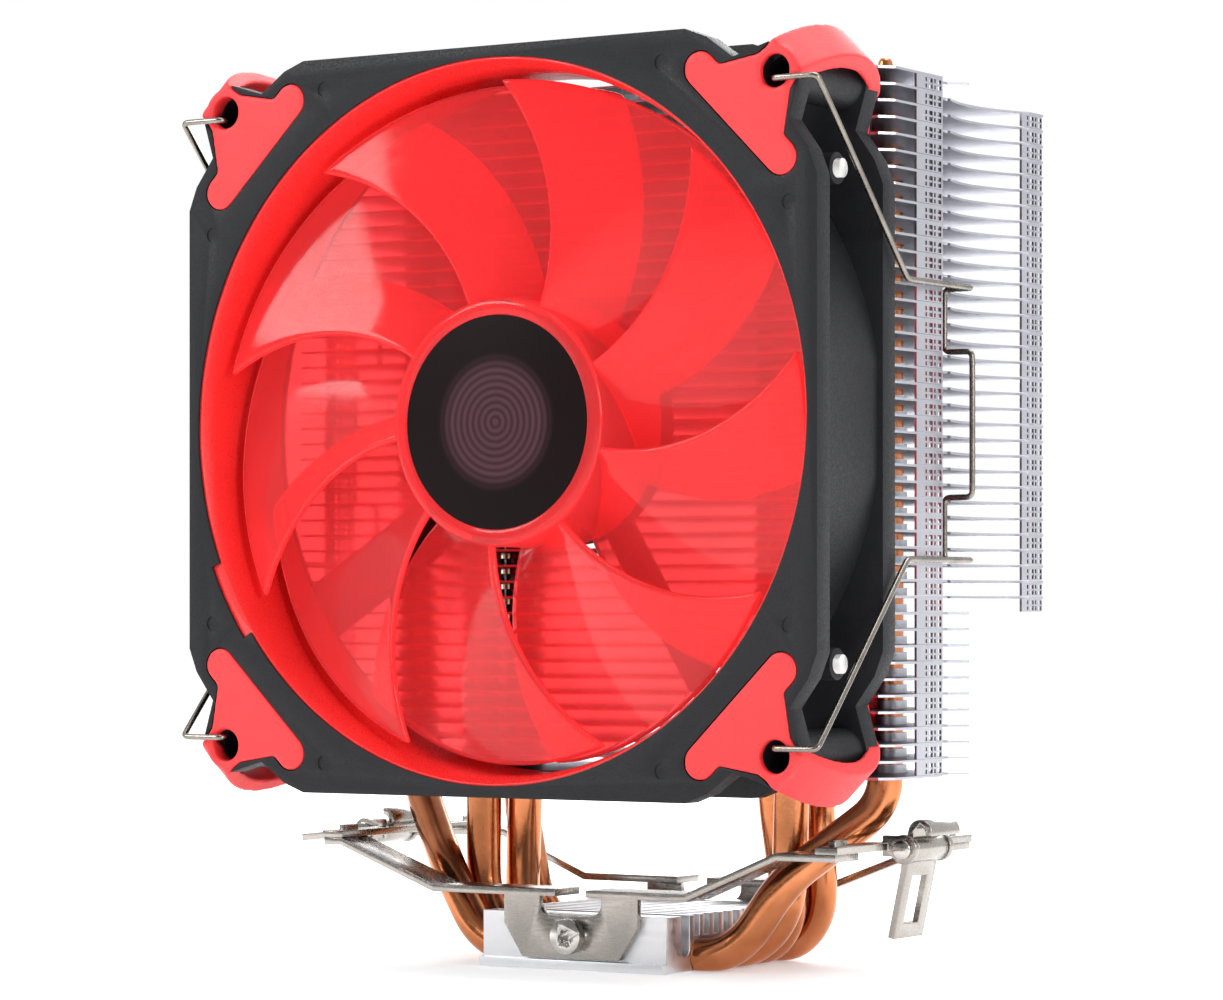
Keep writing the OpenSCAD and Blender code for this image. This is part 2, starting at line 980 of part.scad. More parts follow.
module bracket_screws() {
    color("silver")
        for (side = [0, 1])
            mirror([0, side, 0])
                translate([0, -base_w / 2, screw_z])
                    rotate([90, 0, 0])
                        difference() {
                            union() {
                                translate([0, 0, -screw_l])
                                    cylinder(h = screw_l + sheet_t, r = screw_r);
                                translate([0, 0, sheet_t])
                                    cylinder(h = screw_head_h, r = screw_head_r);
                            }
                            translate([0, 0, sheet_t + screw_head_h - drive_depth])
                                linear_extrude(drive_depth + eps) {
                                    circle(drive_r);
                                    for (i = [0:5])
                                        rotate(i * 60)
                                            translate([drive_r, 0])
                                                circle(drive_lobe_r);
                                }
                        }
}

// Plate that joins the wing tips of both brackets and carries a hook between two lugs
module end_plate() {
    span = base_w / 2 + sheet_t;
    translate([0, 0, end_z])
        linear_extrude(sheet_t)
            difference() {
                translate([end_in, -span])
                    square([end_out - end_in, 2 * span]);
                for (side = [-1, 1])
                    translate([slot_x, side * (base_w / 2 - wing_back / 2)])
                        square([sheet_t + slot_fit, slot_l + slot_fit], center = true);
                translate([pivot_x - curl_way, -lug_in])
                    square([curl_way, 2 * lug_in]);
            }
    for (side = [0, 1])
        mirror([0, side, 0])
            difference() {
                union() {
                    y_bar(pivot_x, pivot_z, lug_in, sheet_t, lug_r);
                    translate([end_out - 1, lug_in, pivot_z - lug_r + 1.2])
                        cube([pivot_x - end_out + 1, sheet_t, 2 * lug_r - 1.4]);
                }
                y_bar(pivot_x, pivot_z, lug_in - eps, sheet_t + 2 * eps, pin_r);
            }
}

module end_plate_right() {
    color("#9a9592")
        end_plate();
}

module end_plate_left() {
    color("#9a9592")
        mirror([1, 0, 0])
            end_plate();
}

module hook_pins() {
    reach = lug_in + sheet_t;
    color("lightgray")
        both_sides() {
            y_bar(pivot_x, pivot_z, -reach, 2 * reach, pin_r);
            y_bar(pivot_x, pivot_z, reach, pin_head_t, pin_head_r);
            y_bar(pivot_x, pivot_z, -reach - pin_head_t, pin_head_t, pin_head_r);
        }
}

// Hook with a window, hanging from its pivot, with its top end curled outwards as a thumb grip
module hook() {
    difference() {
        union() {
            y_bar(0, 0, -hook_half, 2 * hook_half, hook_barrel_r);
            translate([-hook_t / 2, -hook_half, -hook_l])
                cube([hook_t, 2 * hook_half, hook_l - hook_root]);
            translate([-hook_t / 2, -hook_half, hook_root])
                cube([hook_t, 2 * hook_half, thumb_l - hook_root]);
            translate([curl_r, 0, thumb_l])
                difference() {
                    y_bar(0, 0, -hook_half, 2 * hook_half, curl_r + hook_t / 2);
                    y_bar(0, 0, -hook_half - eps, 2 * hook_half + 2 * eps, curl_r - hook_t / 2);
                    translate([-hook_l, -hook_l, -2 * hook_l])
                        cube(2 * hook_l);
                }
        }
        y_bar(0, 0, -hook_half - eps, 2 * hook_half + 2 * eps, pin_r + run_gap);
        translate([-hook_t, -window_w / 2, window_low - hook_l])
            cube([2 * hook_t, window_w, window_l]);
    }
}

module hook_right() {
    color("#9a9592")
        translate([pivot_x, 0, pivot_z])
            rotate([0, right_lean, 0])
                hook();
}

module hook_left() {
    color("#9a9592")
        translate([-pivot_x, 0, pivot_z])
            rotate([0, left_swing, 0])
                mirror([1, 0, 0])
                    hook();
}

base_block();
heat_pipe(0);  // heat_pipe_1
heat_pipe(1);  // heat_pipe_2
heat_pipe(2);  // heat_pipe_3
heat_pipe(3);  // heat_pipe_4
low_fin_stack();
long_fin_stack();
top_fin();
fan_frame();
duct_ring();
corner_pad(0, 0);  // corner_pad_1
corner_pad(1, 0);  // corner_pad_2
corner_pad(1, 1);  // corner_pad_3
corner_pad(0, 1);  // corner_pad_4
leds();
impeller();
hub_disc();
rotor_cup();
magnet_ring();
shaft();
shaft_clip();
bearing();
bearing_tube();
stator_core();
stator_coils();
circuit_board();
wire_clip_left();
wire_clip_right();
front_bracket();
rear_bracket();
bracket_screws();
end_plate_left();
end_plate_right();
hook_pins();
hook_left();
hook_right();
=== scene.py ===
import json
import math

import bmesh
import bpy
from bpy.props import FloatProperty, FloatVectorProperty, IntProperty, PointerProperty
from bpy.types import Operator, Panel, PropertyGroup
from mathutils import Euler, Matrix, Vector

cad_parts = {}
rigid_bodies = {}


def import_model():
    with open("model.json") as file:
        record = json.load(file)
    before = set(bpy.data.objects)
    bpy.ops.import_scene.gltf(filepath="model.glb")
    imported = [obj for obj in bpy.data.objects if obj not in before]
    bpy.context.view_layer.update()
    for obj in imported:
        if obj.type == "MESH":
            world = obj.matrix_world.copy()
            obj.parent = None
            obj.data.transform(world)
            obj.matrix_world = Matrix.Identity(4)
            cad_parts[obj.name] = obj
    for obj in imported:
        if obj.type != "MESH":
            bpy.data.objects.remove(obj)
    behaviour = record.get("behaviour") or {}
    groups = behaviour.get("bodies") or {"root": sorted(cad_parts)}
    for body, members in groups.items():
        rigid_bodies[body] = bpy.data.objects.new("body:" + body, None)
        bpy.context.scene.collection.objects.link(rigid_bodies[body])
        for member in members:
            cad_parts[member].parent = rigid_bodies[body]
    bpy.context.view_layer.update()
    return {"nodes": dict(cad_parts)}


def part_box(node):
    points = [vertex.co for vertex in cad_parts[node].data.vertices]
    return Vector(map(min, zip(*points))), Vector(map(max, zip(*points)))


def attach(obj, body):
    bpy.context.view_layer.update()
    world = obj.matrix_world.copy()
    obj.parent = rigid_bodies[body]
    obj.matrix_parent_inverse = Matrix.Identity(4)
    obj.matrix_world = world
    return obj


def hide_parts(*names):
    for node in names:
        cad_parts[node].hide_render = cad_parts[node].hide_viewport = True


bl_info = {
    "name": "Tower cooler",
    "version": (1, 0, 0),
    "blender": (4, 5, 0),
    "location": "3D View > Sidebar > Cooler",
    "description": "Dresses the packed tower cooler: fan, fins, heat pipes, clips and brackets",
    "category": "Object",
}

for leftover in list(bpy.data.objects):
    bpy.data.objects.remove(leftover)
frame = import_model()
NODES = frame["nodes"]

MM = 0.001
BODY = "cooler"
# Points closer than this are one point
MERGE = 0.002 * MM
# Slack when part of a mesh is picked by its height
SKIN = 0.02 * MM

# The camera: where it stands, its turn about Z, its lens on a 36 mm sensor and its rise
CAMERA_AT = (0.3748, -0.6083, 0.0596)
CAMERA_TURN = math.radians(32.08)
SENSOR = 36
LENS = 124.51
RISE = 0.0878
# What the lights face, and each light's place, width in metres and power in watts
AIM = Vector((0, 0, 0.08))
LIGHTS = (
    ("key", (-0.75, -0.85, 0.75), 0.5, 9),
    ("fill", (0.9, -0.3, 0.35), 0.35, 4),
    ("top", (0.1, 0.15, 1.0), 0.7, 8),
    ("rear", (-0.3, 0.9, 0.6), 0.6, 6))


def linear(code):
    """An sRGB hex colour as linear red, green and blue."""
    parts = [int(code[k:k + 2], 16) / 255 for k in (1, 3, 5)]
    return [c / 12.92 if c <= 0.04045 else ((c + 0.055) / 1.055) ** 2.4 for c in parts]


def size(name, what, default, unit="LENGTH"):
    return FloatProperty(name=name, description=what, default=default, unit=unit)


def paint(name, what, code):
    return FloatVectorProperty(
        name=name, description=what, default=linear(code), subtype="COLOR", min=0, max=1)


class FanSizes(PropertyGroup):
    """Sizes of the fan's moulded pieces"""
    blades: IntProperty(name="Blades", description="Number of impeller blades", default=9)
    blade_wall: size("Blade wall", "Thickness of a blade at its middle", 1.3 * MM)
    root_angle: size("Root width", "Angle that a blade covers at the hub",
                     math.radians(54), "ROTATION")
    tip_angle: size("Tip width", "Angle that a blade covers at its tip",
                    math.radians(57), "ROTATION")
    sweep: size("Sweep", "How far a blade's tip runs ahead of its root",
                math.radians(22), "ROTATION")
    moulded_edge: size("Moulded edge", "Rounding of the frame's moulded edges", 0.25 * MM)
    pad_voxel: size("Pad voxel", "Cell size that the corner pads are remeshed at", 0.28 * MM)


class MetalSizes(PropertyGroup):
    """Sizes of the metal pieces' fine detail"""
    sheet_edge: size("Sheet edge", "Rounding of the cut edges of the bracket sheet", 0.15 * MM)
    turned_edge: size("Turned edge", "Rounding of turned and extruded edges", 0.12 * MM)
    fin_pitch: size("Fin pitch", "Distance between neighbouring fins", 2.615 * MM)
    fin_sheet: size("Fin sheet", "Thickness of a fin", 0.4 * MM)
    low_fins: IntProperty(name="Low fins", description="Number of low fins", default=11)
    long_fins: IntProperty(name="Long fins", description="Number of long fins", default=32)
    collar_wall: size("Collar wall", "Thickness of a fin's collar round a pipe", 0.45 * MM)
    collar_height: size("Collar height", "Height of a fin's collar round a pipe", 1.3 * MM)
    collar_bore: size("Collar bore", "Inner radius of a collar", 3.02 * MM)
    collar_foot: size("Collar foot", "How far a collar's foot spreads on its fin", 0.35 * MM)


class Colours(PropertyGroup):
    """Colours of the finishes"""
    block: paint("Block", "Extruded aluminium of the base block", "#E6E7EA")
    fins: paint("Fins", "Rolled aluminium of the fins", "#BDBEC6")
    copper: paint("Copper", "Drawn copper of the heat pipes", "#CB8258")
    frame_black: paint("Frame", "Moulded plastic of the fan frame", "#131418")
    ring_red: paint("Duct ring", "Moulded plastic of the duct ring", "#E82626")
    blade_red: paint("Impeller", "Clear red plastic of the impeller", "#FF4A4E")
    pad_red: paint("Corner pads", "Silicone of the corner pads", "#EA3034")
    disc_dark: paint("Hub disc", "Dark foil on the hub", "#140B0C")
    nickel: paint("Nickel", "Plating of the brackets and hooks", "#A7A29C")
    wire: paint("Clip wire", "Spring steel of the fan clips", "#8E8880")


# Selecting, editing and finishing

def only(*objs):
    """Selects these objects alone, in object mode, with the first one active."""
    if bpy.context.object and bpy.context.object.mode != "OBJECT":
        bpy.ops.object.mode_set(mode="OBJECT")
    bpy.ops.object.select_all(action="DESELECT")
    for obj in objs:
        obj.select_set(True)
    bpy.context.view_layer.objects.active = objs[0]


def modify(obj, kind, **settings):
    """Adds a modifier with its settings, then applies it."""
    only(obj)
    made = obj.modifiers.new(kind.title(), kind)
    for key, value in settings.items():
        setattr(made, key, value)
    bpy.ops.object.modifier_apply(modifier=made.name)


def refined(node, name, edge=0, segments=2, sharp=35):
    """A merged copy of a CAD node, with flat faces joined and its edges rounded."""
    obj = bpy.data.objects.new(name, NODES[node].data.copy())
    obj.data.name = name
    bpy.context.scene.collection.objects.link(obj)
    only(obj)
    bpy.ops.object.mode_set(mode="EDIT")
    bpy.ops.mesh.select_all(action="SELECT")
    bpy.ops.mesh.remove_doubles(threshold=MERGE)
    if edge:
        bpy.ops.mesh.dissolve_limited(angle_limit=math.radians(0.5))
    bpy.ops.object.mode_set(mode="OBJECT")
    if edge:
        modify(obj, "BEVEL", width=edge, segments=segments, limit_method="ANGLE",
               angle_limit=math.radians(sharp), harden_normals=False)
    only(obj)
    bpy.ops.object.shade_smooth_by_angle(angle=math.radians(sharp))
    return obj


def dress(obj, finish, body=BODY, stands_for=()):
    """Gives a finished piece its material and the body it moves with, and hides the nodes it
    stands for.
    """
    obj.data.materials.clear()
    obj.data.materials.append(finish)
    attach(obj, body)
    if stands_for:
        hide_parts(*stands_for)
    return obj


def turned(name, profile, centre, steps=96):
    """A piece turned about the fan's axis, from a closed run of (radius, y) points."""
    only_deselect()
    bpy.ops.mesh.primitive_plane_add(size=MM)
    obj = bpy.context.object
    obj.name = obj.data.name = name
    points = [Vector((centre.x + r, y, centre.z)) for r, y in profile]
    bpy.ops.object.mode_set(mode="EDIT")
    bpy.ops.mesh.select_all(action="SELECT")
    bpy.ops.mesh.merge(type="CENTER")
    bpy.ops.transform.translate(value=points[0])
    for here, there in zip(points, points[1:] + points[:1]):
        bpy.ops.mesh.extrude_region_move(
            TRANSFORM_OT_translate={"value": there - here})
    bpy.ops.mesh.select_all(action="SELECT")
    bpy.ops.mesh.remove_doubles(threshold=MERGE)
    bpy.ops.mesh.select_all(action="SELECT")
    bpy.ops.mesh.spin(steps=steps, angle=math.tau, center=centre, axis=(0, 1, 0))
    bpy.ops.mesh.select_all(action="SELECT")
    bpy.ops.mesh.remove_doubles(threshold=MERGE)
    bpy.ops.mesh.normals_make_consistent(inside=False)
    bpy.ops.object.mode_set(mode="OBJECT")
    bpy.ops.object.shade_smooth_by_angle(angle=math.radians(35))
    return obj


def only_deselect():
    """Leaves nothing selected, in object mode."""
    if bpy.context.object and bpy.context.object.mode != "OBJECT":
        bpy.ops.object.mode_set(mode="OBJECT")
    bpy.ops.object.select_all(action="DESELECT")


def joined(name, parts):
    """One named object made of all the parts."""
    only(*parts)
    if len(parts) > 1:
        bpy.ops.object.join()
    obj = bpy.context.object
    obj.name = obj.data.name = name
    return obj


def middle(node):
    """The centre of a node's box."""
    low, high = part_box(node)
    return (Vector(low) + Vector(high)) / 2


# Materials

def add(tree, kind, inputs=(), **settings):
    """Adds a node with its settings, then sets or links its inputs."""
    made = tree.nodes.new(kind)
    for key, value in settings.items():
        setattr(made, key, value)
    for key, value in dict(inputs).items():
        if isinstance(value, bpy.types.NodeSocket):
            tree.links.new(value, made.inputs[key])
        else:
            made.inputs[key].default_value = value
    return made


def fresh(name):
    """A new material, its tree, its shader and its Object coordinates."""
    material = bpy.data.materials.new(name)
    material.use_nodes = True
    tree = material.node_tree
    place = add(tree, "ShaderNodeTexCoord").outputs["Object"]
    return material, tree, tree.nodes["Principled BSDF"], place


def per(mm):
    """Texture scale for a pattern of that size in millimetres."""
    return 1 / (mm * MM)


def tinted(tree, factor, first, second):
    """A colour between two others, by a factor."""
    mix = add(tree, "ShaderNodeMix", data_type="RGBA")
    tree.links.new(factor, mix.inputs["Factor"])
    for socket, value in (("A", first), ("B", second)):
        ports = [i for i in mix.inputs if i.name == socket and i.type == "RGBA"]
        if isinstance(value, bpy.types.NodeSocket):
            tree.links.new(value, ports[0])
        else:
            ports[0].default_value = (*value, 1)
    return [o for o in mix.outputs if o.type == "RGBA"][0]


def surface(name, colour, other, patch, grain, depth, rough, spread,
            stretch=(1, 1, 1), **fixed):
    """A finish whose colour drifts in patches and whose grain breaks up its gloss.

    Patch, grain and depth are in millimetres; rough is the mean roughness and spread its swing.
    """
    material, tree, shader, place = fresh(name)
    drift = add(tree, "ShaderNodeTexNoise",
                {"Vector": place, "Scale": per(patch), "Detail": 4, "Roughness": 0.6})
    run = add(tree, "ShaderNodeMapping", {"Vector": place, "Scale": stretch})
    fine = add(tree, "ShaderNodeTexNoise",
               {"Vector": run.outputs["Vector"], "Scale": per(grain), "Detail": 3})
    sharp = add(tree, "ShaderNodeMapRange",
                {"Value": drift.outputs["Fac"], "From Min": 0.35, "From Max": 0.68})
    tree.links.new(tinted(tree, sharp.outputs["Result"], colour, other),
                   shader.inputs["Base Color"])
    gloss = add(tree, "ShaderNodeMapRange",
                {"Value": fine.outputs["Fac"], "From Min": 0.3, "From Max": 0.7,
                 "To Min": rough - spread, "To Max": rough + spread})
    tree.links.new(gloss.outputs["Result"], shader.inputs["Roughness"])
    bump = add(tree, "ShaderNodeBump",
               {"Height": fine.outputs["Fac"], "Distance": depth * MM, "Strength": 0.6})
    tree.links.new(bump.outputs["Normal"], shader.inputs["Normal"])
    for key, value in fixed.items():
        shader.inputs[key.replace("_", " ")].default_value = value
    return material


def darker(colour, share):
    return [c * share for c in colour]


def finishes():
    """Every finish by name, made once."""
    c = bpy.context.scene.cooler_colours
    made = {}
    # Extruded aluminium: die lines along the block and a soft satin sheen
    made["block"] = surface(
        "extruded aluminium", c.block, darker(c.block, 0.9), 9, 0.7, 0.012, 0.42, 0.08,
        stretch=(0.02, 1, 1), Metallic=1)
    # Rolled aluminium sheet: fine rolling streaks and slightly uneven gloss
    made["fins"] = surface(
        "rolled aluminium fin stock", c.fins, darker(c.fins, 0.86), 14, 0.5, 0.004, 0.34, 0.06,
        stretch=(0.06, 1, 1), Metallic=1)
    # Drawn copper: bright where it is clean, brown where handling has dulled it
    made["copper"] = surface(
        "drawn copper pipe", c.copper, linear("#AE6840"), 13, 0.6, 0.004, 0.2, 0.06,
        Metallic=1)
    # Glass-filled nylon: a fine matte grain from the mould
    made["frame"] = surface(
        "moulded black nylon", c.frame_black, darker(c.frame_black, 0.72), 3, 0.35, 0.05,
        0.56, 0.12, Specular_IOR_Level=0.3)
    # Coloured ABS: bright and glossy, with faint flow marks
    made["ring"] = surface(
        "moulded red plastic", c.ring_red, darker(c.ring_red, 0.85), 30, 0.3, 0.004, 0.3, 0.05,
        IOR=1.53)
    # Clear red polycarbonate: the fins show dimly through it, a faint emission paints a red
    # glow into the plastic though it is no lamp, and sharp highlights run along the blades
    made["blade"] = surface(
        "clear red polycarbonate", c.blade_red, darker(c.blade_red, 0.85), 16, 2.2, 0.02,
        # Painted glow: the emission lights the blades and hub from within, standing in for
        # light inside the fan
        0.1, 0.04, Transmission_Weight=0.8, IOR=1.25, Emission_Color=(1, 0.09, 0.095, 1),
        Emission_Strength=0.14)
    # Silicone rubber: soft bloom over a saturated red, no hard highlight
    made["pad"] = surface(
        "moulded silicone", c.pad_red, darker(c.pad_red, 0.88), 5, 0.3, 0.02, 0.55, 0.08,
        Subsurface_Weight=0.12, Subsurface_Scale=1.5 * MM)
    # Frosted epoxy: a milky grey-white body with a soft sheen
    made["lamp"] = surface(
        "frosted epoxy lens", linear("#D8D8D6"), linear("#C9C9C7"), 2, 0.2, 0.01, 0.3, 0.06)
    # Nickel-plated steel sheet: warm grey, mirror-like with fine scuffs
    made["nickel"] = surface(
        "nickel-plated steel sheet", c.nickel, darker(c.nickel, 0.88), 9, 0.4, 0.004, 0.26,
        0.07, stretch=(0.15, 1, 1), Metallic=1)
    # Polished nickel on the screw: sharper reflections than the sheet
    made["screw"] = surface(
        "polished nickel screw", linear("#C9C6C2"), linear("#A9A6A2"), 2, 0.3, 0.006, 0.16,
        0.05, Metallic=1)
    # Drawn spring wire: long die streaks
    made["wire"] = surface(
        "drawn spring wire", c.wire, darker(c.wire, 0.62), 4, 0.4, 0.008, 0.26, 0.08,
        Metallic=1)
    # Motor parts behind the hub
    made["cup"] = surface(
        "zinc-plated rotor steel", linear("#8C8F94"), linear("#6E7176"), 6, 0.4, 0.01, 0.34,
        0.08, Metallic=1)
    made["magnet"] = surface(
        "bonded ferrite rubber", linear("#3A3A40"), linear("#2C2C31"), 3, 0.25, 0.03, 0.7, 0.1)
    made["shaft"] = surface(
        "ground shaft steel", linear("#C3C7CC"), linear("#A3A7AC"), 4, 0.2, 0.004, 0.16, 0.05,
        stretch=(1, 0.1, 1), Metallic=1)
    made["clip"] = surface(
        "blued clip steel", linear("#5C6068"), linear("#484C54"), 3, 0.2, 0.006, 0.4, 0.08,
        Metallic=1)
    made["bronze"] = surface(
        "sintered bronze", linear("#A9813F"), linear("#80602C"), 2, 0.15, 0.02, 0.5, 0.1,
        Metallic=1)
    made["brass"] = surface(
        "turned brass", linear("#C9AE66"), linear("#A98E4A"), 5, 0.25, 0.006, 0.26, 0.06,
        stretch=(1, 0.1, 1), Metallic=1)
    made["core"] = surface(
        "stacked silicon steel", linear("#70757C"), linear("#565B62"), 3, 0.5, 0.05, 0.42, 0.1,
        stretch=(0.02, 1, 0.02), Metallic=1)
    made["coil"] = surface(
        "enamelled copper winding", linear("#B0602C"), linear("#7C3E1A"), 3, 0.35, 0.12, 0.32,
        0.08, stretch=(1, 0.08, 1), Metallic=1, Coat_Weight=0.4)
    made["board"] = surface(
        "green solder mask", linear("#1F6A3A"), linear("#174F2C"), 4, 0.5, 0.02, 0.35, 0.06,
        Coat_Weight=0.3)
    made["disc"] = ringed_foil(c)
    return made


def ringed_foil(c):
    """Dark printed foil with fine rings that fade out from the middle."""
    spacing, full_to, gone_at = 1.15, 8, 11.5
    material, tree, shader, place = fresh("ringed hub foil")
    at = middle("hub_disc")
    offset = add(tree, "ShaderNodeVectorMath",
                 {0: place, 1: (at.x, at.y, at.z)}, operation="SUBTRACT")
    flat = add(tree, "ShaderNodeVectorMath",
               {0: offset.outputs["Vector"], 1: (1, 0, 1)}, operation="MULTIPLY")
    radius = add(tree, "ShaderNodeVectorMath", {0: flat.outputs["Vector"]}, operation="LENGTH")
    mm = add(tree, "ShaderNodeMath", {0: radius.outputs["Value"], 1: 1 / MM},
             operation="MULTIPLY")
    turns = add(tree, "ShaderNodeMath", {0: mm.outputs["Value"], 1: math.tau / spacing},
                operation="MULTIPLY")
    wave = add(tree, "ShaderNodeMath", {0: turns.outputs["Value"]}, operation="SINE")
    rings = add(tree, "ShaderNodeMapRange",
                {"Value": wave.outputs["Value"], "From Min": -1, "From Max": 1,
                 "To Min": 0.45, "To Max": 1})
    fade = add(tree, "ShaderNodeMapRange",
               {"Value": mm.outputs["Value"], "From Min": full_to, "From Max": gone_at,
                "To Min": 1, "To Max": 0}, interpolation_type="SMOOTHSTEP")
    share = add(tree, "ShaderNodeMath",
                {0: rings.outputs["Result"], 1: fade.outputs["Result"]}, operation="MULTIPLY")
    fine = add(tree, "ShaderNodeTexNoise", {"Vector": place, "Scale": per(0.4), "Detail": 3})
    tree.links.new(tinted(tree, share.outputs["Value"], c.disc_dark, linear("#4A3038")),
                   shader.inputs["Base Color"])
    gloss = add(tree, "ShaderNodeMapRange", {"Value": fine.outputs["Fac"],
                                             "To Min": 0.42, "To Max": 0.6})
    tree.links.new(gloss.outputs["Result"], shader.inputs["Roughness"])
    shader.inputs["Specular IOR Level"].default_value = 0.06
    bump = add(tree, "ShaderNodeBump", {"Height": share.outputs["Value"],
                                        "Distance": 0.01 * MM, "Strength": 0.4})
    tree.links.new(bump.outputs["Normal"], shader.inputs["Normal"])
    return material


FINISH = {}


# Operators, one for each piece or group of like pieces

class COOLER_OT_base_block(Operator):
    """Make the ribbed base block"""
    bl_idname = "cooler.base_block"
    bl_label = "Base block"

    def execute(self, context):
        sizes = context.scene.cooler_metal
        block = refined("base_block", "block", sizes.turned_edge)
        dress(block, FINISH["block"], BODY, ["base_block"])
        return {"FINISHED"}


class COOLER_OT_heat_pipes(Operator):
    """Make the four bent heat pipes"""
    bl_idname = "cooler.heat_pipes"
    bl_label = "Heat pipes"

    def execute(self, context):
        for k in range(1, 5):
            pipe = rounded_sweep(f"heat_pipe_{k}", f"pipe_{k}", 1)
            dress(pipe, FINISH["copper"], BODY, [f"heat_pipe_{k}"])
        return {"FINISHED"}


def rounded_sweep(node, name, levels):
    """A merged copy of a swept bar, made round by subdivision."""
    obj = refined(node, name)
    only(obj)
    bpy.ops.object.mode_set(mode="EDIT")
    bpy.ops.mesh.select_all(action="SELECT")
    bpy.ops.mesh.tris_convert_to_quads(
        face_threshold=math.radians(40), shape_threshold=math.radians(90))
    bpy.ops.object.mode_set(mode="OBJECT")
    modify(obj, "SUBSURF", levels=levels, render_levels=levels)
    only(obj)
    bpy.ops.object.shade_smooth_by_angle(angle=math.radians(50))
    return obj


class COOLER_OT_fins(Operator):
    """Make the fins with their interlocking side tabs, and the collars that grip the pipes"""
    bl_idname = "cooler.fins"
    bl_label = "Fins"

    def execute(self, context):
        sizes = context.scene.cooler_metal
        pitch = sizes.fin_pitch
        low_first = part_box("low_fin_stack")[0].z
        long_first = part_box("long_fin_stack")[0].z
        # The lowest fin has no tabs, since there is none below it to lock to
        lowest = one_fin("low_fin_stack", low_first, sizes, [])
        second = one_fin("low_fin_stack", low_first + pitch, sizes, ["front"])
        stacked(second, sizes.low_fins - 1, pitch)
        finish_fins([lowest, second], "fins_low", "low_fin_stack")
        sheet_z = long_first + tab_drop(sizes)
        many = one_fin("long_fin_stack", sheet_z, sizes, ["front", "rear"])
        stacked(many, sizes.long_fins, pitch)
        finish_fins([many], "fins_long", "long_fin_stack")
        top_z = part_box("top_fin")[1].z - sizes.fin_sheet
        finish_fins([one_fin("top_fin", top_z, sizes, ["front"])], "fin_top", "top_fin")
        collars = pipe_collars(sizes, low_first, top_z)
        dress(collars, FINISH["fins"], BODY)
        return {"FINISHED"}


def finish_fins(parts, name, node):
    fins = joined(name, parts)
    bpy.ops.object.shade_flat()
    dress(fins, FINISH["fins"], BODY, [node])


def stacked(obj, count, pitch):
    """Repeats a piece upwards."""
    modify(obj, "ARRAY", count=count, use_relative_offset=False,
           use_constant_offset=True, constant_offset_displace=(0, 0, pitch))


def tab_drop(sizes):
    """How far a fin's tabs hang below its sheet: just short of the next fin."""
    return sizes.fin_pitch - sizes.fin_sheet - 0.05 * MM


# The windows in the tabs: how far the first one is from the fins' front or rear end, how far
# apart two are, and the size of each window, its tongue and the bar across it. The heights
# of windows and tongues are shares of the tabs' own height.
FIRST_WINDOW = {"front": 13.4 * MM, "rear": -6.8 * MM}
WINDOW_STEP = 3 * MM
WINDOW_AT = 0.52
WINDOW = (1.6 * MM, 2.5 * MM, 0.76)
TONGUE = (0.25 * MM, 0.8 * MM, 0.86)
TONGUE_IN, TONGUE_DOWN = 0.3 * MM, 0.1 * MM
BAR = (0.25 * MM, 2.6 * MM, 0.35 * MM)
BAR_IN = 0.2 * MM


def one_fin(node, sheet_z, sizes, tabs):
    """One fin of a stack: its tabs get the windows and tongues that lock it to the next."""
    fin = refined(node, f"{node}_{round(sheet_z / MM)}")
    drop = tab_drop(sizes)
    low = sheet_z - (drop if tabs else 0) - SKIN
    high = sheet_z + sizes.fin_sheet + SKIN
    only(fin)
    bpy.ops.object.mode_set(mode="EDIT")
    bpy.ops.mesh.select_all(action="DESELECT")
    work = bmesh.from_edit_mesh(fin.data)
    for v in work.verts:
        v.select_set(not low < v.co.z < high)
    work.select_flush_mode()
    bmesh.update_edit_mesh(fin.data)
    bpy.ops.mesh.delete(type="VERT")
    bpy.ops.object.mode_set(mode="OBJECT")
    first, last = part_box("long_fin_stack")
    side = last.x
    ends = {"front": first.y, "rear": last.y}
    z = sheet_z - drop * WINDOW_AT
    cutters, tongues = [], []
    for tab in tabs:
        for sign in (-1, 1):
            for column in range(2):
                y = ends[tab] + FIRST_WINDOW[tab] + column * WINDOW_STEP
                cutters.append(block_at(
                    (sign * side, y, z), (*WINDOW[:2], drop * WINDOW[2])))
                tongues.append(block_at(
                    (sign * (side - TONGUE_IN), y, z - TONGUE_DOWN),
                    (*TONGUE[:2], drop * TONGUE[2])))
                tongues.append(block_at((sign * (side - BAR_IN), y, z), BAR))
    if cutters:
        cutter = joined("cutter", cutters)
        modify(fin, "BOOLEAN", operation="DIFFERENCE", object=cutter, solver="EXACT")
        bpy.data.objects.remove(cutter)
        fin = joined(fin.name, [fin] + tongues)
    return fin


def block_at(centre, sides):
    """A small sheet-metal block with its place in its mesh."""
    only_deselect()
    bpy.ops.mesh.primitive_cube_add(size=1, location=centre)
    obj = bpy.context.object
    obj.scale = sides
    bpy.ops.object.transform_apply(location=True, rotation=True, scale=True)
    return obj


def pipe_collars(sizes, first, last):
    """A drawn collar above each fin round each pipe leg, repeated up the stack."""
    rings = []
    levels = round((last - first) / sizes.fin_pitch) + 1
    for k in range(1, 5):
        leg = top_centre(f"heat_pipe_{k}")
        for sign in (-1, 1):
            centre = Vector((sign * abs(leg.x), leg.y, first + sizes.fin_sheet))
            rings.append(collar(sizes, centre))
    ring = joined("fin_collars", rings)
    stacked(ring, levels, sizes.fin_pitch)
    only(ring)
    bpy.ops.object.shade_smooth_by_angle(angle=math.radians(40))
    return ring


def top_centre(node):
    """The middle of a pipe's right-hand tip."""
    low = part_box(node)[1].z - 0.2 * MM
    tip = [v.co for v in NODES[node].data.vertices if v.co.z > low and v.co.x > 0]
    return sum(tip, Vector()) / len(tip)


